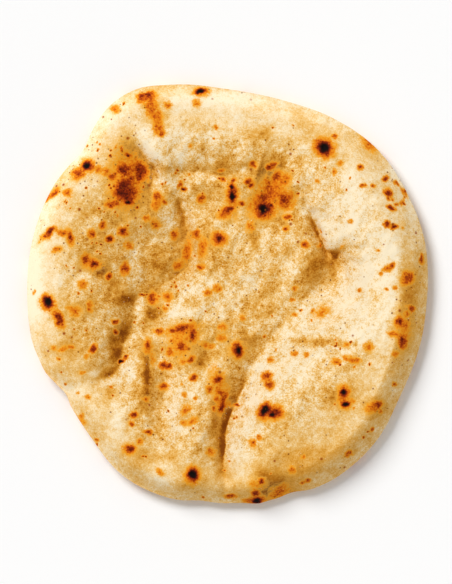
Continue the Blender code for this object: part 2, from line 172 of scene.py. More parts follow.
BROWN = (
    (-100.8, 35.8, 1.5, 1, 90), (-65, -40.3, 2, 0.9, 60), (-17, 17.3, 1.9, 1.8), (-3.5, 73.6, 1.9, 1.5),
    (92.5, -87, 1.2, 1.2), (-40, 58.9, 1.7, 1.4), (-86.7, 38.4, 2, 1.9, 100), (-33.6, 37.8, 2.2, 1.7, 90),
    # The mark at -2.2, -67.8 lies on the lower crease's shaded side and is partly painted shade.
    (-17, 60.8, 2, 1.7, 60), (-79.7, 44.2, 1.9, 1.5, 120), (-2.2, -67.8, 5.8, 1.9, 68),
    (-56, 74.2, 3.2, 2.6, 90), (-54.1, 78.7, 3.8, 2.6, 95), (22.1, 51.2, 4.5, 2.6, 10),
    (-71.4, 58.2, 2.6, 1.9), (-61.8, 73.6, 2.6, 1.9, 100), (-30.4, 69.1, 2.2, 1.2, 60),
    (-95.7, 76.8, 3.6, 3.1, 45), (-75.2, 57, 2.8, 2.4), (16.6, 82.6, 2.2, 2), (68.5, 101.1, 1.5, 1.5),
    (84.8, 81, 1.9, 1.7), (86.7, 69.4, 1.8, 1.3), (93.1, 69.1, 1.4, 1.2), (108.2, 70.7, 2, 1, 130),
    (-100.8, 36.5, 4.5, 1.9, 100), (-114.2, 39, 4.5, 1.9, 42), (-65.6, 16.6, 3.6, 2.4, 75),
    (-45.1, 62.7, 2.6, 2.2, 60), (-19.5, 38.4, 2.8, 2.3, 120), (-42.2, 103, 1.8, 1.7),
    (25.9, 71, 1.5, 1.4), (38.1, 49.3, 2.4, 1.9), (105.3, 18.6, 1.7, 1.5), (115.5, 10.2, 4.2, 3.5, 60),
    (117.4, -9, 2.4, 1.8, 150), (-48, -2.9, 3.8, 2.6, 100), (-34.9, -23.7, 1.7, 1.4),
    (-29.8, -33.6, 2.4, 2.2), (-23, -41.9, 2.4, 2.1, 30), (-11.5, -61.4, 2, 1.9), (-4.5, -63, 2.3, 2),
    (-74.6, -59.5, 1.2, 1), (-61.1, -83.2, 1.7, 1.4), (-50.9, -88.6, 2.7, 1.4, 170),
    (77.8, -102.1, 2.3, 1.5, 30), (51.5, -119.4, 1.7, 1.4), (96.3, -71.7, 1.9, 1.7, 90),
    (23.7, -26.9, 1, 1), (-90.6, 22.4, 3.2, 2.6, 120), (-85.4, 19.2, 3.2, 2.8, 160),
    (-110.4, 64.6, 3.8, 1.5, 43), (-115.5, 62.1, 2.6, 1.5, 60), (37.4, 42.2, 1.7, 1.5),
    (-29.8, -21.8, 5.8, 1.8, 12), (-49.6, 126.7, 3.5, 2.3, 10), (-55.4, 126.1, 2.3, 1.9, 40),
    (29.1, 82.6, 2.9, 1.9, 40), (31, 75.5, 3.8, 2.6, 60), (36.2, 60.8, 3.8, 2.9, 20),
    (22.7, 62.1, 5.1, 3.2), (-0.6, 53.1, 3.8, 2.7, 30), (9.3, 58.2, 1.9, 1.5), (4.2, 72.6, 2.2, 1.3, 25),
    (-5.4, 35.2, 4.2, 4), (2.9, 65.3, 5.8, 2.8, 95), (25.3, -52.8, 2.9, 2.7), (27.2, -58.2, 2.6, 2.4),
    (-41, -59.2, 2.9, 1.9), (-51.2, -32.3, 2.8, 1.9, 100), (48, -120.6, 1.3, 1.2),
    (17.6, -131.8, 6.4, 1.9, 5), (1.6, -129.3, 3.8, 1.3), (96.3, -70.4, 3.2, 1.9), (107.8, 57.3, 1.5, 0.9),
    (103, 60.5, 1, 1), (105.9, 60.5, 1, 1), (-8.6, -73.6, 1.5, 1.3), (-7, -67.2, 1.8, 1.5),
    (-107.8, -41.3, 1.3, 1), (-83.5, -93.4, 1.3, 0.8, 150), (124.2, 22.4, 2.6, 1.3, 95),
    (-73.9, 75.5, 2.6, 2.6), (-66.2, 65.9, 5.8, 5.8), (-60.5, 65.3, 4.5, 3.8, 90),
)
ORANGE = (
    (-116.8, 37.1, 1.9, 1.3, 42), (-30.4, 71.7, 1.2, 1), (54.7, -10.9, 1.3, 1, 90),
    (-93.1, -78.1, 2, 1.5, 80), (-50.9, 119.7, 2.6, 1.7, 60), (113, 64.6, 3.2, 1.3, 120),
    (111.7, 58.2, 2.2, 1.3, 60), (-107.2, 39.7, 3.2, 1.5, 150), (33.6, -125.4, 5.8, 3.2, 20),
    (31, -128.6, 4.5, 1.9, 10), (-53.4, 78.1, 5.8, 3.2, 100), (27.2, 67.2, 3.8, 2.6, 100),
    (22.1, 55.7, 8.3, 7), (-82.6, 79.7, 2.6, 2.3), (-71.7, 118.4, 2.6, 2.2), (-54.1, 124.8, 3.8, 2.6, 20),
    (-49, 122.2, 3.2, 3.2, 60), (-48.3, 117.8, 4.5, 3.2, 60), (-45.1, 113.3, 4.2, 3.2, 80),
    (-44.5, 106.9, 4.2, 3.2, 80), (-38.1, 121, 2.3, 2), (-19.5, 121.9, 2.4, 2.3), (-7.7, 106.6, 1.4, 1.4),
    (-23.4, 94.7, 1.2, 1.2), (-4.2, 79, 2.9, 1.2, 10), (35.5, 73, 5.1, 3.8, 30), (37.4, 61.4, 5.8, 5.1),
    (28.5, 65.9, 7.7, 7, 60), (72.3, 83.8, 1.7, 1.5), (68.2, 78.4, 1.4, 1.9), (90.6, 96.6, 5.8, 3.2, 130),
    (-105.3, 39, 2.6, 1.9), (-109.1, 28.5, 2.8, 2, 20), (-102.7, 64.6, 2.8, 2.4),
    (-86.7, 38.4, 2.8, 2.7, 100), (-79.7, 44.2, 2.9, 2.3, 120), (-45.8, 57, 2.9, 2.7, 90),
    (-17, 60.8, 2.9, 2.6, 60), (-15.7, 29.4, 5.8, 2.6, 85), (-25.9, 26.2, 5.1, 2.7, 75),
    (-31.7, 18.6, 3.2, 2.8, 30), (-33.6, 37.8, 3.2, 2.6, 90), (-51.5, 48.6, 2.3, 1.9),
    (-46.4, 44.8, 3.2, 2.8, 90), (-63.4, 31.4, 2.8, 2.6), (-2.9, 50.6, 3.2, 2.8),
    (14.4, 42.9, 3.2, 2.6, 120), (43.2, 3.8, 1.9, 1.7), (98.2, 12.8, 1.3, 1.2), (96, 27.8, 1.1, 0.8),
    (111.7, 42.2, 0.9, 0.8), (79, 46.1, 1.5, 1.3), (72.6, 30.1, 1.5, 1.2, 60), (59.2, 30.7, 1.5, 1.3),
    (102.7, 16.6, 3.6, 2, 30), (84.8, 2.6, 1.3, 1.2), (101.4, 2.9, 1, 0.8), (107.2, 3.8, 1.4, 1.2),
    (-123.8, 1.3, 1.3, 0.8, 90), (-102.1, -9, 1.5, 1.3), (-97.6, -10.9, 3.8, 3.5, 150),
    (-92.5, 6.4, 2.9, 2.6), (-88, -6.4, 2.2, 1.9, 90), (-88.3, -10.2, 1.7, 1.4), (-90.6, -39.7, 1.5, 1.5),
    (-93.1, -50.2, 1.7, 1), (-104.6, -34.6, 3.2, 1.5, 20), (-100.2, -33.9, 1.9, 1.5),
    (-111, -34.6, 1.5, 1.3), (-38.4, -1.6, 2.9, 2.6), (-40.3, -9.3, 1.7, 1.4), (-3.5, -28.2, 2.8, 2.6),
    (-3.5, -21.1, 2.6, 2.2), (-6.4, 3.2, 2.6, 2.3), (-12.5, 1, 2.4, 2.2), (-28.5, -43.5, 1.9, 1.7),
    (-43.8, -23.7, 2.2, 1.9), (9.6, -15.4, 2, 1.8), (60.5, -12.5, 2.6, 1.5, 20), (47, -10.6, 1.1, 0.9),
    (42.6, -13.1, 1.5, 1.3), (41.3, -3.5, 1.9, 1.3), (27.8, -42.2, 2, 1.9), (43.2, -38.1, 1.9, 1.7),
    (50.9, -39, 1.7, 1.4), (114.9, -12.8, 1.9, 1.7), (114.2, -19.8, 2.6, 1.9),
    (106.6, -25.6, 3.8, 1.9, 170), (107.8, -38.7, 1.9, 1.9), (90.6, -34.2, 2.9, 2.8),
    (81, -42.2, 3.8, 1.9, 160), (75.8, -41, 1.9, 1.4), (69.4, -43.2, 2.7, 1.9), (76.5, -32, 1.9, 1.4, 30),
    (106.6, -57.6, 1.4, 1.4), (-52.2, -67.2, 2.2, 2), (-89.3, -65.9, 2, 1.8), (-96, -63.4, 1, 0.8),
    (-27.8, -64.6, 1.4, 1.3), (-20.2, -66.6, 1.3, 1.2), (-26.6, -74.2, 3.2, 2.2, 40),
    (-22.1, -81.3, 3.2, 1.9, 20), (-27.8, -82.6, 1.7, 1.4), (-10.6, -101.1, 2.8, 2.3),
    (16, -95.4, 2.8, 1.9, 90), (20.2, -91.8, 2, 1.8), (80, -68.2, 2, 1.7), (92.5, -73, 4.5, 3.2, 20),
    (97.6, -75.2, 1.4, 1.3), (41.3, -112.6, 2.6, 1.9, 90), (48.3, -104.6, 1.5, 1.4),
    (-14.4, -33.3, 1.5, 1.4), (-10.6, -33.3, 1.8, 1.5), (-29.1, -22.4, 9.6, 2.6, 10),
    (-22.1, -25, 5.1, 3.2, 100), (-29.8, -33.9, 3.8, 3.2), (-36.8, -37.1, 2.6, 2.6),
    (-14.4, -32.6, 2.6, 1.9), (-44.5, -23.7, 2.6, 1.9), (-50.9, -33.9, 4.5, 2.6, 90),
    (-56, -94.7, 1.8, 1.7), (-43.2, -113.6, 2.6, 1.4, 150), (73.9, -65.9, 4.5, 3.2, 90),
    (-5.4, 35.2, 4.5, 4.1), (-62.4, -99.2, 3.8, 3.2), (24.6, 72.3, 1.9, 1.9), (3.5, 62.1, 6.4, 3.5, 95),
    (37.4, 57, 4.5, 3.2), (-6.1, -55, 3.8, 3.2), (57.3, 72.3, 1.4, 1.4), (-77.8, 78.1, 2.6, 2.6),
    (-65, 66.6, 8.3, 8.3), (-61.8, 78.7, 7.7, 5.8),
)
STAIN = (
    # The mark at -1.6, -69.8 lies on the lower crease's shaded side and is partly painted shade.
    (-93.1, -81.3, 3.2, 1.9, 140), (-47.7, -41, 5.1, 1.9, 90), (-1.6, -69.8, 2.6, 5.8, 80),
    (-58.6, 70.4, 3.2, 3.2), (-59.8, 84.5, 7.7, 4.5, 110), (-65.6, 73, 21.8, 10.9, 92),
    (-59.8, 78.1, 7.7, 4.5, 95), (-49.6, 119, 5.8, 2.9, 110), (-45.8, 113.3, 7, 2.8, 98),
    (-43.2, 106.2, 4.5, 2.8, 95), (25.9, 66.6, 9.6, 9, 60), (36.2, 60.2, 5.8, 5.8),
    (-27.8, -25.6, 10.2, 7.7), (2.9, 60.2, 11.5, 4.5, 95), (-43.2, 60.2, 4.5, 3.8, 30),
    (-25.9, 28.2, 10.2, 3.2, 80), (-86.7, 19.2, 7.7, 3.8, 170), (-116.8, 37.1, 5.8, 2.2, 42),
    (-30.4, -32.6, 7.7, 9), (-6.1, -57.6, 11.5, 5.8, 100), (-5.4, -71, 7.7, 2.9, 90),
    (6.7, -35.8, 6.4, 5.8), (60.5, -11.5, 5.8, 3.8, 20), (19.5, -121.6, 6.4, 3.8),
    (113, -21.8, 11.5, 5.1, 90),
)
# Each group's toasting in the middle of its places, from 0 for pale dough to 1 for char, how
# sharply the places end, and how large they are against their given sizes.
BURNS = (
    (CHAR, 1.0, 2.8, 0.95),
    (DARK, 0.74, 2.3, 1.08),
    (BROWN, 0.63, 2.2, 1.1),
    (ORANGE, 0.47, 2.2, 1.1),
    (STAIN, 0.34, 2.0, 1.0),
)
# How fast the toasting falls off, and how sharply places that meet join.
BURN_FALL = 0.7
BURN_MERGING = 4.0
# The places' golden surroundings: how far out, how fast they fall off, how strong they are.
HALO = 2.2
HALO_FALL = 3.0
HALO_STRENGTH = 0.32
# Pin-head pores, burnt dark: x, y. Then the radius and the toasting of each.
DOT = (
    (-33.3, 77.8), (-31.7, 78.7), (-24.6, 77.1), (-68.2, -43.2), (-66.2, 121.9), (-74.6, 91.5),
    (-75.5, 88.6), (-67.8, 92.2), (-64, 88.6), (-41.9, 70.1), (-39.4, 70.7), (-27.2, 73), (-30.1, 69.8),
    (-28.5, 66.6), (-16.3, 64.3), (-6.1, 53.8), (-23.7, 32.6), (-20.8, 24), (-6.1, 73.9), (-9.3, 99.8),
    (28.8, 106.9), (42.2, 107.8), (3.5, 73), (2.9, 64), (1.6, 54.4), (41.3, 47), (44.5, 64), (59.8, 40.3),
    (113, 57.3), (-75.8, 11.2), (-86.7, 32.6), (-83.5, 32.6), (-81, 31.4), (-83.5, 27.5), (-81, 26.2),
    (-103.4, 17.9), (-98.6, 16.6), (-103.4, 58.2), (-100.8, 55), (-104.6, 59.5), (-55.4, 42.9),
    (-57.9, 55), (-64, 43.5), (-87.4, 1.6), (-95.4, 0.3), (-97.9, -22.7), (-106.9, -49.6), (-103.7, -57.3),
    (-65.6, -39.7), (-54.7, -0.3), (-52.2, 0.6), (-33.6, 7), (-35.5, 4.8), (-32.6, 4.5), (-31.4, 2.2),
    (-38.1, -6.7), (-53.8, -18.2), (-14.4, -11.2), (-24, -16.6), (-41.9, -35.2), (-35.8, -29.8),
    (54.1, -16.6), (28.8, -13.8), (31.4, -36.2), (46.4, -10.9), (69.4, -29.4), (69.8, -32), (68.8, -33.3),
    (72.3, -34.6), (79.4, -30.4), (71.7, -45.1), (81, -46.7), (91.2, -44.8), (-54.1, -104), (-52.2, -104),
    (-21.8, -86.1), (-38.1, -74.9), (0.6, -107.5), (-2.2, -113), (16.3, -94.4), (4.5, -79.7), (80.6, -73),
    (69.1, -70.4), (86.7, -91.5), (89.3, -87.7), (27.8, -115.2), (-15.7, -129.9), (-83.5, -96.3),
    (-73.3, -64.6), (-90.6, 67.8), (-75.8, 69.8), (-74.6, 67.8), (-73.3, 69.1), (-89.3, 94.7), (-81.6, 96),
    (-82.9, 92.2), (-83.5, 97.3), (-72, 94.1), (-53.4, 68.5), (-76.5, 60.8), (-72, 51.8), (-70.1, 49.9),
    (-81.6, 55), (-79, 52.5), (78.4, 74.2), (113.6, 65.3), (113, 61.4), (76.5, 66.6), (6.1, -78.7),
    (5.1, -71), (6.7, -70.7), (45.8, 71.7), (45.1, 64), (41.9, 78.7), (62.4, 80.6), (-45.8, -23),
    (-44.5, -9), (-29.1, -57.6), (-25.3, 5.1), (-59.8, -17.9), (-90.6, -23), (-43.2, -1.3),
)
DOT_RADIUS = 0.68
DOT_TOASTING = 0.98
# Wide golden and pale patches of dough, given like the places above, and their strength.
# The golden ones are partly toasting and partly painted shade on shaded slopes and in creases;
# the pale ones are partly paler dough and partly painted light.
GOLD_AND_PAINTED_SHADE = (
    (-49.6, -51.2, 9, 3.8, 90), (-22.1, -7, 5.1, 3.2), (17, 49.9, 5.1, 3.8), (30.4, 80.6, 6.4, 3.2, 20),
    (46.4, 80.6, 3.8, 3.8), (16.3, 34.6, 6.4, 3.2, 90), (33.6, -128, 7.7, 3.2, 10),
    (78.4, -61.4, 3.8, 2.6, 90), (76.5, 31.4, 5.1, 2.6, 20), (104, -19.8, 5.1, 3.2, 90),
    (-52.2, 74.2, 7.7, 3.2, 85), (-41.3, 80, 6.4, 3.2, 155), (22.1, -99.8, 5.8, 9, 85),
    (31, -124.2, 9, 3.8, 10), (40, -128.6, 10.2, 3.8, 10), (-84.8, 15.4, 10.2, 5.1, 150),
    (-63.7, 58.9, 6.4, 4.5), (-70.1, -38.4, 3.8, 5.1, 60), (47.7, -30.7, 5.1, 2.6, 175),
    (-40, 5.1, 11.5, 3.8, 5), (-47, -13.4, 3.8, 9, 80), (-50.9, -37.1, 5.1, 10.2, 90),
    (-97, -37.1, 9, 4.5, 10), (-99.5, 56.3, 4.5, 5.8, 100), (-84.2, 34.6, 5.1, 7.7, 110),
    (-73.3, -63.4, 3.8, 7.7, 80), (14.4, -29.4, 4.5, 9, 60), (34.9, -85.8, 10.2, 6.4, 40),
    (-3.5, -115.2, 3.8, 5.1, 90), (69.4, 67.8, 6.4, 5.1, 30), (46.4, -112.6, 9, 4.5, 10),
    (-35.5, -103.7, 9, 4.5, 10), (-82.9, 20.5, 5.8, 10.2, 110), (-53.4, 74.2, 4.5, 9, 95),
    (-55.4, -43.5, 14.1, 3.8, 95), (-41.9, -87.7, 21.8, 4.5, 119), (-45.1, 20.5, 15.4, 5.8, 82),
    (33.6, 46.1, 7.7, 5.1), (24.6, 103.7, 5.1, 3.8), (57.9, 17.9, 9, 5.1, 60), (-64.3, -3.2, 5.8, 3.8, 10),
    (-69.4, -31.4, 12.8, 3.2, 75), (-52.2, -55, 16.6, 2.6, 92), (-54.7, -105, 8.3, 6.4),
    (56, -30.7, 17.9, 3.2, 178), (46.4, 44.2, 7.7, 5.8, 60), (-13.1, 50.6, 21.8, 5.1, 92),
    (22.1, 78.1, 17.9, 4.5, 12), (-70.1, 0.6, 6.4, 5.1), (-46.4, -1.3, 7.7, 3.8),
    (-44.5, -11.5, 10.2, 3.8, 92), (-75.2, -62.7, 7.7, 5.8, 60), (-54.7, -73, 7.7, 3.8, 90),
    (-8.6, -41, 16.6, 4.5, 32), (27.2, 14.1, 9, 3.2, 40), (28.5, -10.2, 9, 3.8, 60),
    (-9.3, -71, 6.4, 3.2, 80), (22.1, -115.2, 6.4, 4.5), (30.4, -125.4, 11.5, 5.1, 10),
    (109.1, -23, 19.2, 5.1, 92), (-89.3, 51.2, 9, 3.8, 30), (-49.6, -15.4, 12.8, 4.5, 95),
    (-17.6, -43.5, 10.2, 6.4, 60), (17.6, 32.6, 7.7, 5.1, 80), (56, 61.4, 7.7, 3.8, 150),
    (-53.4, 76.8, 9, 3.8, 95), (-52.8, 78.1, 6.4, 3.2, 95), (-3.5, 78.1, 17.9, 5.8, 82),
    (-79, -49.9, 7.7, 3.8, 25), (-65, 71.7, 21.8, 11.5, 90), (-58.6, 81.9, 14.1, 5.8, 118),
    (-63.7, 70.4, 12.8, 9, 90), (-54.7, 79.4, 7.7, 5.1, 100), (-51.5, -46.1, 21.8, 2, 91),
    (-72, -35.8, 14.1, 3.2, 100), (-65, -3.8, 5.8, 3.2), (-66.2, -21.8, 6.4, 3.2, 60),
    (-76.5, -51.2, 7, 2.6, 20), (-3.5, -92.2, 21.8, 1.9, 92), (-0.3, -70.4, 7, 1.9, 62),
    (-77.1, 10.9, 12.8, 4.5, 133), (-49.6, 57, 7.7, 6.4), (-91.2, -7, 9, 9), (-104, -32.6, 10.2, 5.8, 20),
    (-29.1, -31.4, 12.8, 12.8), (-3.5, -24.3, 9, 7.7), (18.2, -5.1, 11.5, 5.8, 50), (36.8, 28.2, 7.7, 6.4),
    (-24, 12.8, 9, 7.7), (54.1, 16.6, 11.5, 4.5, 72), (65.6, 23, 7.7, 5.1, 60), (2.9, 50.6, 5.1, 6.4),
    (117.4, -5.1, 12.8, 4.5, 92), (2.9, -117.8, 9, 5.1, 95), (65.6, -31.4, 16.6, 2.6, 176),
    (-14.4, 28.2, 14.1, 9, 90), (-30.4, 31.4, 12.8, 7.7, 90), (-4.8, -71.7, 12.8, 4.5, 72),
    (-8, -90.2, 15.4, 3.8, 92), (27.8, -120.3, 12.8, 10.2), (46.4, -103, 11.5, 6.4, 20),
    (64.3, -101.1, 10.2, 5.1, 20), (92.5, -71, 7.7, 6.4), (-62.4, -64.6, 9, 5.1, 20),
    (52.8, 105, 12.8, 6.4, 160), (46.4, 92.2, 9, 6.4), (17.6, 101.8, 9, 6.4), (-44.5, 116.5, 14.1, 9, 90),
    (72, -67.8, 9, 9), (114.9, 9, 10.2, 6.4, 90), (113, -23, 12.8, 6.4, 90), (-24, -77.4, 7.7, 9),
    (-7.4, 82.6, 12.8, 5.8), (24, 82.6, 10.2, 9, 30),
)
PALE_AND_PAINTED_LIGHT = (
    (-84.8, -51.2, 4.5, 2.6, 10), (22.1, -70.4, 3.2, 2.6), (6.7, -62.7, 7.7, 2.6, 70),
    (63.7, 28.2, 3.8, 3.2), (86.1, -32.6, 3.2, 3.2), (113.6, 63.4, 25.6, 4.5, 112),
    (-116.8, -10.2, 3.2, 3.2), (-107.2, 7.7, 5.1, 3.8, 90), (-36.8, 44.2, 9, 3.8, 80),
    (-46.4, 106.2, 10.2, 4.5, 20), (-6.7, -46.1, 5.8, 3.8, 10), (37.4, -25.6, 5.8, 3.2, 60),
    (-66.9, -64.6, 3.2, 3.2), (-95.7, 87, 5.1, 3.2, 30), (-100.8, -61.4, 7.7, 4.5, 150),
    (-79, -99.8, 6.4, 4.5, 135), (-44.5, -119, 9, 4.5, 160), (17, -69.1, 3.2, 3.8, 70),
    (67.5, 32.6, 3.2, 3.8, 110), (-44.5, 87, 3.8, 3.2), (-56, 9.6, 3.8, 3.8), (-35.5, 70.4, 5.1, 3.8),
    (19.5, -47.4, 3.8, 9, 70), (-49.6, 90.9, 7.7, 4.5, 60), (-24, -12.8, 12.8, 5.1),
    (89.9, 16.6, 19.2, 7.7, 90), (-118.7, 50.6, 14.1, 6.4, 65), (-95.7, 92.2, 14.1, 5.1, 50),
    (66.9, 112.6, 15.4, 5.8, 150), (48.3, 90.9, 6.4, 5.1), (-70.1, -80.6, 10.2, 5.1, 80),
    (51.5, 51.2, 6.4, 5.1, 110), (-35.5, 99.8, 9, 5.1), (75.8, 39.7, 9, 6.4, 30),
    (46.4, -15.4, 6.4, 4.5, 30), (85.4, -28.2, 6.4, 5.1), (-53.4, 97.3, 10.2, 3.8, 116),
    (-17.6, 87, 21.8, 5.8), (62.4, 52.5, 14.1, 7.7, 110), (-123.8, 5.8, 32, 7.7, 90),
    (-61.1, 25, 6.4, 3.8, 80), (79.7, 60.2, 19.2, 12.8, 120), (101.4, 34.6, 25.6, 9, 92),
    (92.5, -26.2, 10.2, 11.5), (1.6, 125.4, 57.6, 6.4), (-126.4, 2.6, 38.4, 6.4, 90),
    (-78.4, 112.6, 16.6, 6.4, 50), (105.3, -3.8, 32, 6.4, 90), (-57.3, -11.5, 7.7, 3.2, 90),
)
GOLD_AND_SHADE_STRENGTH = 0.28
PALE_AND_LIGHT_STRENGTH = 0.34
# The edge is a little more golden, this far in.
EDGE_GOLD = 0.06
EDGE_GOLD_WIDTH = 12.0
# Patches strewn with specks and pores, given in the same way, and how thickly.
STREWN = (
    (-66.2, 73, 25.6, 20.5, 90, 0.5), (-84.8, 28.2, 25.6, 28.2, 30, 0.35),
    (-75.2, 98.6, 19.2, 12.8, 50, 0.4), (-49.6, 112.6, 19.2, 11.5, 100, 0.3),
    (-24, 28.2, 25.6, 12.8, 100, 0.2), (31, 66.6, 23, 19.2, 50, 0.4), (-24, -32.6, 21.8, 21.8, 30, 0.25),
    (11.2, 2.6, 38.4, 19.2, 40, 0.15), (-107.2, -32.6, 15.4, 19.2, 20, 0.2),
    (65.6, -37.1, 25.6, 10.2, 170, 0.25), (110.4, 60.2, 32, 11.5, 95, 0.4),
    (116.8, -23, 57.6, 12.8, 92, 0.25), (46.4, -112.6, 32, 10.2, 10, 0.2), (-94.4, 73, 12.8, 12.8, 0, 0.4),
    (8, 130.6, 38.4, 6.4, 0, 0.2), (-49.6, -93.4, 25.6, 25.6, 0, 0.15),
)

# The marks' outlines wander: size of the wandering, and how far it goes.
MARK_WANDER = ((5.0, 0.9), (2.2, 0.5))
MARK_SEEDS = (30, 40)
# The folds' lines wander in the same way, in full only this far in from the edge.
FOLD_WANDER = ((14.0, 0.8), (6.0, 0.6))
FOLD_SEEDS = (50, 60)
FIRM_EDGE = 25.0

# Unevenness of the crust: size, height on the rim, height in the middle.
BUMPS = (
    (24, 0.3, 0.6), (12, 0.22, 0.55), (6.5, 0.14, 0.36), (3.4, 0.09, 0.18),
    (2, 0.06, 0.09),
)
# Where the middle begins, as a share of the rim crest's inset, and over how far.
MIDDLE_START = 0.6
MIDDLE_BLEND = 25.0
# The bumps are drawn out along this direction, by this much.
PULL_DIRECTION = 58.0
PULL = 1.7
# Charred blisters stand up, and sink in the middle: how far against their size, and how wide.
BLISTER_RISE = (0.10, 1.3)
BLISTER_SINK = (0.16, 0.45)
# The unevenness fades out below this height over the floor.
EVEN_FOOT = 5.0

# Hollows lie below the form's average over each of these widths, worked out on a grid.
GRID_STEP = 1.0
GRID_REACH = 152.0
HOLLOW_WIDTHS = (3.0, 10.0)
# Painted light and shade from hollows and slopes shows in full only from here in.
HOLLOW_INSET = 14.0
SLOPE_INSET = 20.0
# Slopes that face this way, away from the key lamp, get painted shade as extra gold.
SHADED_SIDE = -53.0

BALL_SUBDIVISIONS = 6
TOP_REFINEMENTS = 2
# The part of the ball's radius over which its top turns into its underside.
SIDE_BLEND = 0.05
# The UV map's discs for the top and the underside: middle on both axes, and radius.
TOP_DISC = (0.42, 0.41)
UNDER_DISC = (0.835, 0.145)
NOISE_CELLS = 256
NOISE_GAIN = 1.6

# From pale to golden dough, and from the first toasting to char.
DOUGH_COLORS = (
    (0.00, (251, 234, 200)),
    (0.20, (246, 217, 166)),
    (0.40, (236, 189, 110)),
    (0.60, (222, 158, 58)),
    (0.80, (190, 116, 18)),
    (1.00, (140, 72, 6)),
)
BURN_COLORS = (
    (0.08, (244, 190, 88)),
    (0.26, (240, 160, 34)),
    (0.42, (227, 122, 10)),
    (0.54, (192, 82, 6)),
    (0.66, (146, 46, 3)),
    (0.78, (98, 24, 3)),
    (0.90, (46, 11, 4)),
    (1.00, (16, 7, 5)),
)
# How golden the last dough colour is.
GOLD_SPAN = 1.25
# The toasting at which its colours begin to show, and at which they hide the dough's.
TOAST_SHOWS = (0.03, 0.27)
# Half-done toasting is ragged: size and detail of its grain, and its strength.
COARSE_GRAIN = (2.2, 3.0)
COARSE_RAGGEDNESS = 2.0
FINE_GRAIN = (1.1, 2.0)
FINE_RAGGEDNESS = 1.5
# The underside's scorched spots: how far apart, how far they reach as a share of that, how
# ragged, and the size of the patches in which they are weaker and stronger.
SPOT_SPACING = 17.0
SPOT_REACH = 0.45
SPOT_RAGGEDNESS = 0.5
SPOT_PATCHES = 30.0
SPOT_TOASTING = (0.3, 1.05)

# How golden plain dough is, how much more so the underside, and its mottling: size, strength.
DOUGH_GOLD = 0.36
UNDER_GOLD = 0.08
DOUGH_MOTTLING = ((14.0, 0.85), (6.0, 0.78), (2.6, 1.0), (0.9, 1.3))
# The rim's share of the mottling, and how it weakens as the dough turns golden.
RIM_MOTTLING = 0.55
GOLDEN_RANGE = (0.45, 0.95)
GOLDEN_MOTTLING = (1.05, 0.55)
# Painted light and shade on slopes: what they add to the gold, from those facing the lamp to those facing
# away from it.
SHADE_SIDE_RANGE = (-0.5, 0.6)
SLOPE_LIGHT_AND_SHADE = (-0.16, 0.30)
# Painted shade in creases: the gold that creases of these depths add, and its share on slopes that face
# the lamp.
CREASE_DEPTHS = (0.5, 3.6)
CREASE_PAINTED_SHADE = 0.75
CREASE_SHARE = 0.4
CREASE_SLOPES = (-0.1, 0.3)
# Painted shade: slopes that face the lamp are painted a little darker, which holds down their highlights.
LAMP_FACING_SLOPES = (-0.45, -0.08)
LAMP_SIDE_PAINTED_SHADE = 0.84
# The finest shading: its size, and from light to dark.
SHADE_GRAIN = 0.9
SHADES = (1.01, 0.985)

# Specks and pores: how far apart, how large, their colour, and the share of pores anywhere.
SPECKS = (5.0, 0.65)
SPECK_COLOR = (168, 80, 8)
PORES = (3.0, 0.4)
PORE_COLOR = (132, 64, 3)
PLAIN_PORES = 0.09
# Flour: how far apart its specks are, from outline to middle as a share of that, the size and
# strength of its patches, and the toasting over which it fades out.
FLOUR_SPACING = 2.7
FLOUR_REACH = (0.15, 0.05)
FLOUR_PATCHES = 11.0
FLOUR_STRENGTH = 0.7
FLOUR_FADES = (0.2, 0.5)
FLOUR_COLOR = (255, 240, 210)
# The fine relief: size, detail and roughness of its grain, and how deep pores are in it.
RELIEF_GRAIN = (1.3, 3.0, 0.6)
RELIEF_HEIGHT = 0.6
RELIEF_STRENGTH = 0.2
PORE_DEPTH = 0.2
CRUST_ROUGHNESS = 0.85
SPECULAR = 0.1

FLOOR_SIZE = 6000.0
FLOOR_COLOR = (0.97, 0.97, 0.97, 1.0)
FLOOR_ROUGHNESS = 0.9
# The lamp in the upper left and its weak reflector: name, energy, how wide it looks, where it
# stands and how high.
LAMPS = (
    ("key", 2.6, 30.0, 130.0, 43.0),
    ("fill", 0.35, 40.0, -50.0, 15.0),
)
LAMP_COLOR = (1.0, 0.995, 0.985)
STUDIO_COLOR = (1.0, 1.0, 1.0, 1.0)
STUDIO_LIGHT = 0.42
CAMERA_PLACE = (-0.96, 1.28, 900.0)
VIEW_HEIGHT = 373.76


def around(values, angle):
    """Read values given at equal steps round the circle at any angle, along a smooth curve."""
    table = np.array(values)
    place = np.mod(angle, 2.0 * math.pi) / (2.0 * math.pi) * len(table)
    first = np.floor(place).astype(int)
    t = place - first
    before, here, after, beyond = (table[(first + k) % len(table)] for k in (-1, 0, 1, 2))
    slope_here = 0.5 * (after - before)
    slope_after = 0.5 * (beyond - here)
    return (here * (2.0 * t**3 - 3.0 * t**2 + 1.0) + slope_here * (t**3 - 2.0 * t**2 + t)
            + after * (3.0 * t**2 - 2.0 * t**3) + slope_after * (t**3 - t**2))


def edge_radius(angle):
    """Radius of the edge at each angle, with its short bulges and dents."""
    radius = around(EDGE_RADII, angle)
    for middle, half_width, height in EDGE_BULGES:
        off = np.angle(np.exp(1j * (angle - math.radians(middle)))) / math.radians(half_width)
        radius = radius + height * np.exp(-off**2)
    return radius


def inset_of(x, y):
    """How far in from the edge each place lies, and its angle."""
    angle = np.arctan2(y, x)
    return edge_radius(angle) - np.hypot(x, y), angle


def smooth_step(t):
    """A soft ramp from 0 to 1."""
    t = np.clip(t, 0.0, 1.0)
    return t * t * (3.0 - 2.0 * t)


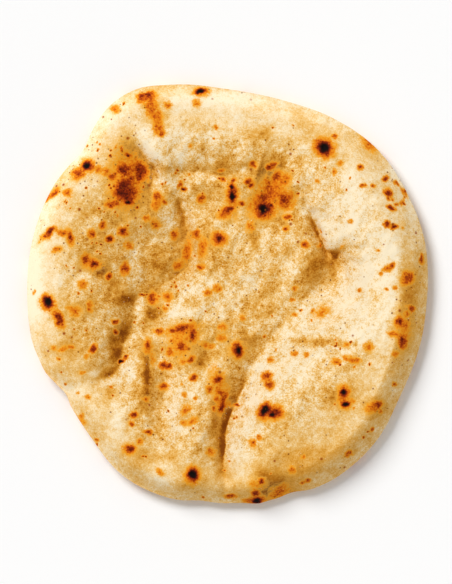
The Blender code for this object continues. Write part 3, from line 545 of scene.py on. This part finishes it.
def smooth_path(points):
    """Fill in a path's given points with a smooth curve through them."""
    knots = np.array(points)
    padded = np.vstack((2.0 * knots[0] - knots[1], knots, 2.0 * knots[-1] - knots[-2]))
    curve = []
    for before, here, after, beyond in zip(padded, padded[1:], padded[2:], padded[3:]):
        for t in np.arange(PATH_STEPS) / PATH_STEPS:
            curve.append(here + 0.5 * t * (after - before + t * (
                2.0 * before - 5.0 * here + 4.0 * after - beyond
                + t * (3.0 * (here - after) + beyond - before))))
    curve.append(knots[-1])
    return np.array(curve)


def turned(x, y, direction):
    """How far a place lies along a direction, and how far to the left of it."""
    turn = math.radians(direction)
    return x * math.cos(turn) + y * math.sin(turn), y * math.cos(turn) - x * math.sin(turn)


def reach_of(x, y, middle_x, middle_y, half_length, half_width, direction=0.0):
    """Distance from the middle of a longish round place, 1 on its outline."""
    along, across = turned(x - middle_x, y - middle_y, direction)
    return np.hypot(along / half_length, across / half_width)


def mound(x, y, *place):
    """A soft mound over a longish round place, 1 in its middle."""
    return np.exp(-reach_of(x, y, *place)**2)


def fold_slope(reach, rounding, bulge):
    """How deep a fold is across its way, 1 at the bottom: slopes with rounded shoulders."""
    far = np.hypot(reach, rounding) - rounding
    even = np.log1p(np.exp(FOLD_EVENNESS * (1.0 - far))) / math.log1p(math.exp(FOLD_EVENNESS))
    return even**bulge


def fold_depth(x, y, rounding, bulge, points):
    """How deep a fold is at each place, with a slope of its own on each side."""
    curve = smooth_path(points)
    depth = np.zeros(x.shape)
    weight = np.zeros(x.shape)
    for start, end in zip(curve, curve[1:]):
        run = end[:2] - start[:2]
        length = math.hypot(*run)
        from_x = x - start[0]
        from_y = y - start[1]
        t = np.clip((from_x * run[0] + from_y * run[1]) / length**2, 0.0, 1.0)
        gap = np.maximum(np.hypot(from_x - t * run[0], from_y - t * run[1]), SMALLEST_GAP)
        leftness = 0.5 + 0.5 * (run[0] * from_y - run[1] * from_x) / (length * gap)
        bottom, left, right = (start[k] + t * (end[k] - start[k]) for k in (2, 3, 4))
        slope = fold_slope(gap / (right + (left - right) * leftness), rounding, bulge)
        share = gap**-NEARNESS
        depth += share * slope * np.maximum(bottom, 0.0)
        weight += share
    return depth / weight


def top_height(x, y):
    """Height of the bread's upper side over the surface that it lies on."""
    inset, angle = inset_of(x, y)
    crest = around(CREST_INSETS, angle)
    down = np.clip((inset - crest) / around(SLOPE_WIDTHS, angle), 0.0, 1.0)
    outer = np.clip(1.0 - inset / around(SHOULDER_INSETS, angle), 0.0, 1.0)
    height = MIDDLE_HEIGHT + around(RIM_HEIGHTS, angle) * (1.0 - smooth_step(down**SLOPE_SKEW))
    height = height - RIM_DROOP * outer**around(SHOULDER_SKEWS, angle)
    for *place, rise in SWELLS:
        height = height + rise * mound(x, y, *place)
    folds = sum(fold_depth(x, y, *fold)**FOLD_MERGING for fold in FOLDS.values())
    return height - folds**(1.0 / FOLD_MERGING)


def round_edge(outward, start):
    """Lay even steps from the middle to the edge over a flat stretch and a rounded end.

    Gives how far out each step lies, 0 to 1, and how much of the full height it has there.
    """
    bend = (1.0 - start) * 0.5 * math.pi
    bend_begins = start / (start + bend)
    quarter_turn = np.clip((outward - bend_begins) / (1.0 - bend_begins), 0.0, 1.0) * 0.5 * math.pi
    flat = outward * (start + bend)
    out = np.where(outward < bend_begins, flat, start + (1.0 - start) * np.sin(quarter_turn))
    return out, np.cos(quarter_turn)


def bread_points(ball):
    """Move the points of a ball of radius 1 onto the bread, its upper half to the top."""
    angle = np.arctan2(ball[:, 1], ball[:, 0])
    outward = np.sqrt(1.0 - np.minimum(np.abs(ball[:, 2]), 1.0))
    is_top = ball[:, 2] >= 0.0
    top_out, top_part = round_edge(outward, TOP_EDGE_START)
    base_out, base_part = round_edge(outward, BASE_EDGE_START)
    radius = edge_radius(angle) * np.where(is_top, top_out, base_out)
    x = radius * np.cos(angle)
    y = radius * np.sin(angle)
    edge_height = EDGE_HEIGHT + EDGE_HEIGHT_SWAY * np.sin(2.0 * angle + 1.0)
    top = edge_height + (top_height(x, y) - edge_height) * top_part
    base = edge_height * (1.0 - base_part)
    return np.column_stack((x, y, np.where(is_top, top, base)))


def noise(points, size, seed):
    """Smooth noise in space, about -1 to 1, with bumps of that size."""
    rng = np.random.default_rng(SEED + seed)
    order = rng.permutation(NOISE_CELLS)
    slopes = rng.normal(size=(NOISE_CELLS, 3))
    slopes /= np.linalg.norm(slopes, axis=1)[:, None]
    cell = np.floor(points / size).astype(int)
    part = points / size - cell
    fade = part**3 * (part * (part * 6.0 - 15.0) + 10.0)
    total = np.zeros(len(points))
    for corner in np.ndindex(2, 2, 2):
        pick = 0
        for axis in (0, 1, 2):
            pick = order[(pick + cell[:, axis] + corner[axis]) % NOISE_CELLS]
        weight = np.prod(np.where(corner, fade, 1.0 - fade), axis=1)
        total += weight * np.sum(slopes[pick] * (part - corner), axis=1)
    return NOISE_GAIN * total


def wandering(points, steps, seed):
    """How far a place wanders along one axis, by noises of several sizes."""
    return sum(far * noise(points, size, seed + k) for k, (size, far) in enumerate(steps))


def blurred(field, width):
    """A field on the grid, averaged over its surroundings."""
    reach = int(3.0 * width)
    weights = np.exp(-0.5 * (np.arange(-reach, reach + 1) / width)**2)
    weights /= weights.sum()
    for axis in (0, 1):
        field = np.apply_along_axis(
            lambda row: np.convolve(np.pad(row, reach, mode="edge"), weights, "valid"), axis, field)
    return field


def read_grid(field, x, y):
    """Read a field on the grid at any place."""
    u = np.clip((x + GRID_REACH) / GRID_STEP, 0.0, field.shape[1] - 1.001)
    v = np.clip((y + GRID_REACH) / GRID_STEP, 0.0, field.shape[0] - 1.001)
    i = u.astype(int)
    j = v.astype(int)
    s = u - i
    t = v - j
    return ((field[j, i] * (1.0 - s) + field[j, i + 1] * s) * (1.0 - t)
            + (field[j + 1, i] * (1.0 - s) + field[j + 1, i + 1] * s) * t)


def hollows(x, y):
    """How far each place lies below its surroundings."""
    line = np.arange(-GRID_REACH, GRID_REACH + 0.5 * GRID_STEP, GRID_STEP)
    grid_x, grid_y = np.meshgrid(line, line)
    inset = inset_of(grid_x, grid_y)[0]
    height = np.where(inset > 0.0, top_height(grid_x, grid_y), MIDDLE_HEIGHT)
    depths = [read_grid(blurred(height, width / GRID_STEP) - height, x, y)
              for width in HOLLOW_WIDTHS]
    return sum(depths) / len(depths)


def burnt(x, y):
    """How toasted each place is by its marks, 0 to 1, and how near it is to any of them."""
    total = np.zeros(x.shape)
    halo = np.zeros(x.shape)
    for marks, strength, sharpness, size in BURNS:
        for mark in marks:
            reach = reach_of(x, y, *mark) / size
            total += (strength * np.exp(-BURN_FALL * reach**sharpness))**BURN_MERGING
            halo += strength * np.exp(-HALO_FALL * (reach / HALO)**2)
    for dot in DOT:
        total += (DOT_TOASTING * mound(x, y, *dot, DOT_RADIUS, DOT_RADIUS))**BURN_MERGING
    return total**(1.0 / BURN_MERGING), halo


def patches(x, y, marks):
    """How much each place lies in soft patches."""
    return sum(mound(x, y, *mark) for mark in marks)


def gold_and_shade_of(x, y, halo, inset):
    """How golden or pale each place is by patches, partly painted shade and light, near its marks and at
    the edge.
    """
    gold_and_shade = GOLD_AND_SHADE_STRENGTH * patches(x, y, GOLD_AND_PAINTED_SHADE) - PALE_AND_LIGHT_STRENGTH * patches(x, y, PALE_AND_PAINTED_LIGHT)
    at_edge = 1.0 - smooth_step(inset / EDGE_GOLD_WIDTH)
    return gold_and_shade + HALO_STRENGTH * np.tanh(halo) + EDGE_GOLD * at_edge


def strewn(x, y):
    """How thickly each place is strewn with specks."""
    return sum(share * mound(x, y, *place) for *place, share in STREWN)


def bumps(points, middle):
    """The crust's unevenness, larger in the middle and drawn out along the pull."""
    along, across = turned(points[:, 0], points[:, 1], PULL_DIRECTION)
    pulled = np.column_stack((along / PULL, across, points[:, 2]))
    return sum((on_rim + (in_middle - on_rim) * middle) * noise(pulled, size, number)
               for number, (size, on_rim, in_middle) in enumerate(BUMPS))


def blisters(x, y):
    """Charred blisters stand up a little, with a sunken, broken middle."""
    height = np.zeros(x.shape)
    for mark in CHAR + DARK:
        reach = reach_of(x, y, *mark)
        for sign, (share, width) in ((1.0, BLISTER_RISE), (-1.0, BLISTER_SINK)):
            height += sign * share * min(mark[2:4]) * np.exp(-(reach / width)**2)
    return height


def crust_ball():
    """A ball with fine facets on its upper half and coarse ones below."""
    mesh = bpy.data.meshes.new("crust")
    shape = bmesh.new()
    bmesh.ops.create_icosphere(shape, subdivisions=BALL_SUBDIVISIONS, radius=1.0)
    for _ in range(TOP_REFINEMENTS):
        upper = set()
        for face in shape.faces:
            if face.calc_center_median().z > 0.0:
                upper.update(face.edges)
        bmesh.ops.subdivide_edges(shape, edges=list(upper), cuts=1, use_grid_fill=True)
    bmesh.ops.triangulate(shape, faces=shape.faces)
    shape.to_mesh(mesh)
    shape.free()
    return mesh


def read_all(items, name, width, kind=float):
    """Read one property of all items of a mesh, as rows of that width."""
    found = np.empty(len(items) * width, kind)
    items.foreach_get(name, found)
    return found.reshape(-1, width) if width > 1 else found


def set_points(mesh, points):
    """Move a mesh's points, given in its own units, and give back its new normals."""
    mesh.vertices.foreach_set("co", points.ravel())
    mesh.update()
    return read_all(mesh.vertex_normals, "vector", 3)


def unwrap(mesh, ball):
    """Lay the triangles of the top and of the underside out as two discs that don't touch."""
    layer = mesh.uv_layers.new(name="OFBake")
    corners = ball[read_all(mesh.loops, "vertex_index", 1, int)]
    is_top = np.repeat(corners[:, 2].reshape(-1, 3).sum(axis=1) > 0.0, 3)[:, None]
    flat = corners[:, :2]
    length = np.maximum(np.linalg.norm(flat, axis=1), 1e-9)
    outward = np.sqrt(1.0 - np.minimum(np.abs(corners[:, 2]), 1.0))
    disc = flat / length[:, None] * outward[:, None]
    top = TOP_DISC[0] + TOP_DISC[1] * disc
    under = UNDER_DISC[0] + UNDER_DISC[1] * disc * (1.0, -1.0)
    layer.data.foreach_set("uv", np.where(is_top, top, under).ravel())


def placed(name, data):
    """Put a mesh, a lamp or a camera into the scene."""
    made = bpy.data.objects.new(name, data)
    bpy.context.scene.collection.objects.link(made)
    return made


def make_crust():
    """The crust: the bread's form with its wrinkles and blisters, and its toasting, with painted shade and
    light among its colour attributes.
    """
    mesh = crust_ball()
    ball = read_all(mesh.vertices, "co", 3)
    ball /= np.linalg.norm(ball, axis=1)[:, None]
    points = bread_points(ball)
    points[:, :2] -= 0.5 * (points[:, :2].min(axis=0) + points[:, :2].max(axis=0))
    is_top = smooth_step(ball[:, 2] / SIDE_BLEND + 0.5)
    inset, angle = inset_of(points[:, 0], points[:, 1])
    free = is_top * smooth_step(inset / FIRM_EDGE)
    shift = [free * wandering(points, FOLD_WANDER, seed) for seed in FOLD_SEEDS]
    points[:, :2] += np.column_stack(shift)
    normals = set_points(mesh, points)

    x, y = points[:, 0], points[:, 1]
    mark_x, mark_y = (place + wandering(points, MARK_WANDER, seed)
                      for place, seed in zip((x, y), MARK_SEEDS))
    middle = smooth_step((inset - MIDDLE_START * around(CREST_INSETS, angle)) / MIDDLE_BLEND)
    rise = bumps(points, middle) + blisters(mark_x, mark_y)
    rise *= is_top * np.clip(points[:, 2] / EVEN_FOOT, 0.0, 1.0)
    normals = set_points(mesh, (points + normals * rise[:, None]) * MM)

    toast, halo = burnt(mark_x, mark_y)
    # How far each slope faces away from the key lamp; this sets the painted shade on it.
    shade_side = turned(normals[:, 0], normals[:, 1], SHADED_SIDE)[0]
    for name, values in (
            ("toast", toast * is_top),
            ("gold_and_shade", gold_and_shade_of(mark_x, mark_y, halo, inset) * is_top),
            # Hollows and slopes facing away from the lamp carry painted shade into the colour.
            ("hollow", hollows(x, y) * is_top * smooth_step(inset / HOLLOW_INSET)),
            ("shade_side", shade_side * smooth_step(inset / SLOPE_INSET)),
            ("middle", np.maximum(middle, 1.0 - is_top)),
            ("strewn", strewn(x, y) * is_top),
            ("under", 1.0 - is_top)):
        layer = mesh.attributes.new(name, "FLOAT", "POINT")
        layer.data.foreach_set("value", values.astype(np.float32))
    unwrap(mesh, ball)
    mesh.shade_smooth()
    mesh.materials.append(crust_material())
    return placed("crust", mesh)


def linear(red, green, blue):
    """An sRGB colour, 0 to 255, as the linear colour that shaders take."""
    return tuple((c / 255.0 / 12.92) if c < 10.4 else ((c / 255.0 + 0.055) / 1.055)**2.4
                 for c in (red, green, blue)) + (1.0,)


def dull(name, roughness):
    """A new material with little shine, and the inputs of its shader."""
    material = bpy.data.materials.new(name)
    material.use_nodes = True
    inputs = material.node_tree.nodes["Principled BSDF"].inputs
    inputs["Roughness"].default_value = roughness
    inputs["Specular IOR Level"].default_value = SPECULAR
    return material, inputs


class Nodes:
    """Short ways to add nodes to a material. Their inputs are sockets or values."""

    def __init__(self, tree):
        self.tree = tree
        self.place = self.put("ShaderNodeTexCoord").outputs["Object"]

    def put(self, kind, inputs=(), **settings):
        """Add a node, set its options, and feed its sockets."""
        made = self.tree.nodes.new(kind)
        for name, value in settings.items():
            setattr(made, name, value)
        for name, value in dict(inputs).items():
            if isinstance(value, bpy.types.NodeSocket):
                self.tree.links.new(value, made.inputs[name])
            else:
                made.inputs[name].default_value = value
        return made

    def calc(self, operation, a, b=0.0, c=0.0, clamp=False):
        return self.put("ShaderNodeMath", {0: a, 1: b, 2: c}, operation=operation,
                        use_clamp=clamp).outputs[0]

    def plus(self, a, b):
        return self.calc("ADD", a, b)

    def times(self, a, b):
        return self.calc("MULTIPLY", a, b)

    def times_plus(self, a, b, c):
        return self.calc("MULTIPLY_ADD", a, b, c)

    def ramp(self, value, low, high, to_low=0.0, to_high=1.0):
        return self.put("ShaderNodeMapRange",
                        {0: value, 1: low, 2: high, 3: to_low, 4: to_high},
                        interpolation_type="SMOOTHSTEP").outputs[0]

    def mixed(self, kind, share, a, b):
        return self.put("ShaderNodeMixRGB", {0: share, 1: a, 2: b}, blend_type=kind).outputs[0]

    def attribute(self, name):
        return self.put("ShaderNodeAttribute", attribute_name=name).outputs["Fac"]

    def grain(self, size, detail=2.0, roughness=0.5):
        """Soft noise from 0 to 1."""
        return self.put("ShaderNodeTexNoise",
                        {"Vector": self.place, "Scale": 1.0 / (size * MM), "Detail": detail,
                         "Roughness": roughness}).outputs["Fac"]

    def swing(self, *grain):
        """Soft noise round 0."""
        return self.plus(self.grain(*grain), -0.5)

    def cells(self, spacing):
        """Cells round scattered points, with the distance from them and a colour each."""
        return self.put("ShaderNodeTexVoronoi",
                        {"Vector": self.place, "Scale": 1.0 / (spacing * MM)}).outputs

    def dots(self, spacing, radius, share):
        """Round dots of uneven size, in that share of the cells of that spacing."""
        cells = self.cells(spacing)
        draw = self.put("ShaderNodeSeparateColor", {0: cells["Color"]}).outputs
        rim = self.times_plus(draw["Green"], radius / spacing, 0.5 * radius / spacing)
        reach = self.calc("DIVIDE", cells["Distance"], rim)
        dot = self.calc("SUBTRACT", 1.5, reach, clamp=True)
        return self.times(dot, self.calc("LESS_THAN", draw["Red"], share))

    def color_ramp(self, value, stops):
        colors = self.put("ShaderNodeValToRGB", {0: value})
        elements = colors.color_ramp.elements
        elements.remove(elements[1])
        elements[0].position = stops[0][0]
        elements[0].color = linear(*stops[0][1])
        for position, color in stops[1:]:
            elements.new(position).color = linear(*color)
        return colors.outputs[0]


def toasting(nodes, under):
    """How toasted the crust is, by its marks and the underside's spots, with ragged ends."""
    coarse = nodes.swing(*COARSE_GRAIN)
    fine = nodes.swing(*FINE_GRAIN)
    reach = nodes.times_plus(coarse, SPOT_RAGGEDNESS, nodes.cells(SPOT_SPACING)["Distance"])
    strength = nodes.ramp(nodes.grain(SPOT_PATCHES), 0.35, 0.65, *SPOT_TOASTING)
    spots = nodes.times(nodes.ramp(reach, SPOT_REACH, 0.0), strength)
    toast = nodes.times_plus(under, spots, nodes.attribute("toast"))
    half_done = nodes.times(toast, nodes.calc("SUBTRACT", 1.0, toast))
    ragged = nodes.times_plus(coarse, COARSE_RAGGEDNESS, nodes.times(fine, FINE_RAGGEDNESS))
    return nodes.times_plus(ragged, half_done, toast)


def dough_color(nodes, under, shade_side):
    """Dough from pale to golden, by its patches and mottling, with painted shade from slopes facing away
    from the lamp and from creases.
    """
    gold_and_shade = nodes.plus(nodes.attribute("gold_and_shade"), DOUGH_GOLD)
    # Painted shade on slopes facing away from the lamp, painted light on slopes facing it.
    gold_and_shade = nodes.plus(gold_and_shade, nodes.ramp(shade_side, *SHADE_SIDE_RANGE, *SLOPE_LIGHT_AND_SHADE))
    # Painted shade in creases, strongest on slopes facing away from the lamp.
    share = nodes.ramp(shade_side, *CREASE_SLOPES, CREASE_SHARE, 1.0)
    crease_shade = nodes.times(nodes.ramp(nodes.attribute("hollow"), *CREASE_DEPTHS), share)
    gold_and_shade = nodes.times_plus(crease_shade, CREASE_PAINTED_SHADE, gold_and_shade)
    unevenness = nodes.times(nodes.ramp(nodes.attribute("middle"), 0.0, 1.0, RIM_MOTTLING, 1.0),
                             nodes.ramp(gold_and_shade, *GOLDEN_RANGE, *GOLDEN_MOTTLING))
    for size, strength in DOUGH_MOTTLING:
        mottling = nodes.times(nodes.swing(size), unevenness)
        gold_and_shade = nodes.times_plus(mottling, strength, gold_and_shade)
    gold_and_shade = nodes.times_plus(under, UNDER_GOLD, gold_and_shade)
    return nodes.color_ramp(nodes.calc("DIVIDE", gold_and_shade, GOLD_SPAN), DOUGH_COLORS)


def flour(nodes, toast):
    """Specks of flour, in patches and where the crust isn't toasted."""
    specks = nodes.ramp(nodes.cells(FLOUR_SPACING)["Distance"], *FLOUR_REACH)
    dusted = nodes.ramp(nodes.grain(FLOUR_PATCHES), 0.45, 0.65, 0.0, FLOUR_STRENGTH)
    return nodes.times(nodes.times(specks, dusted), nodes.ramp(toast, *FLOUR_FADES, 1.0, 0.0))


def crust_material():
    """Baked crust: dough and toasting by attributes, with painted shade on slopes and in creases, fine
    grain, pores and specks.
    """
    material, surface = dull("baked_crust", CRUST_ROUGHNESS)
    nodes = Nodes(material.node_tree)
    under = nodes.attribute("under")
    shade_side = nodes.attribute("shade_side")
    density = nodes.attribute("strewn")
    toast = toasting(nodes, under)
    specks = nodes.dots(*SPECKS, density)
    pores = nodes.dots(*PORES, nodes.plus(density, PLAIN_PORES))
    # Fine grain, times painted shade on the slopes that face the lamp.
    shade = nodes.times(nodes.ramp(nodes.grain(SHADE_GRAIN), 0.2, 0.8, *SHADES),
                        nodes.ramp(shade_side, *LAMP_FACING_SLOPES, LAMP_SIDE_PAINTED_SHADE, 1.0))

    color = nodes.mixed("MIX", nodes.ramp(toast, *TOAST_SHOWS),
                        dough_color(nodes, under, shade_side), nodes.color_ramp(toast, BURN_COLORS))
    color = nodes.mixed("MIX", specks, color, linear(*SPECK_COLOR))
    color = nodes.mixed("MIX", pores, color, linear(*PORE_COLOR))
    color = nodes.mixed("MULTIPLY", 1.0, color, shade)
    color = nodes.mixed("MIX", flour(nodes, toast), color, linear(*FLOUR_COLOR))
    nodes.tree.links.new(color, surface["Base Color"])

    relief = nodes.times_plus(pores, -PORE_DEPTH, nodes.grain(*RELIEF_GRAIN))
    bump = nodes.put("ShaderNodeBump", {"Height": relief, "Strength": RELIEF_STRENGTH,
                                        "Distance": RELIEF_HEIGHT * MM})
    nodes.tree.links.new(bump.outputs[0], surface["Normal"])
    return material


def make_floor():
    """A near-white floor."""
    bpy.ops.mesh.primitive_plane_add(size=FLOOR_SIZE * MM)
    floor = bpy.context.object
    floor.name = "floor"
    material, surface = dull("floor", FLOOR_ROUGHNESS)
    surface["Base Color"].default_value = FLOOR_COLOR
    floor.data.materials.append(material)


def make_light():
    """The lamps and an even studio."""
    for name, energy, angle, azimuth, elevation in LAMPS:
        lamp = bpy.data.lights.new(name, "SUN")
        lamp.energy = energy
        lamp.angle = math.radians(angle)
        lamp.color = LAMP_COLOR
        turn = (0.0, math.radians(90.0 - elevation), math.radians(azimuth))
        placed(name, lamp).rotation_euler = turn
    world = bpy.data.worlds.new("studio")
    world.use_nodes = True
    background = world.node_tree.nodes["Background"]
    background.inputs["Color"].default_value = STUDIO_COLOR
    background.inputs["Strength"].default_value = STUDIO_LIGHT
    bpy.context.scene.world = world


def place_camera():
    """Straight above the bread."""
    view = bpy.data.cameras.new("camera")
    view.type = "ORTHO"
    view.ortho_scale = VIEW_HEIGHT * MM
    camera = placed("camera", view)
    camera.location = [MM * length for length in CAMERA_PLACE]
    bpy.context.scene.camera = camera


bpy.context.scene.view_settings.view_transform = "Standard"
place_camera()
make_floor()
make_light()
crust = make_crust()
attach(crust, "root")
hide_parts("pizza_base")
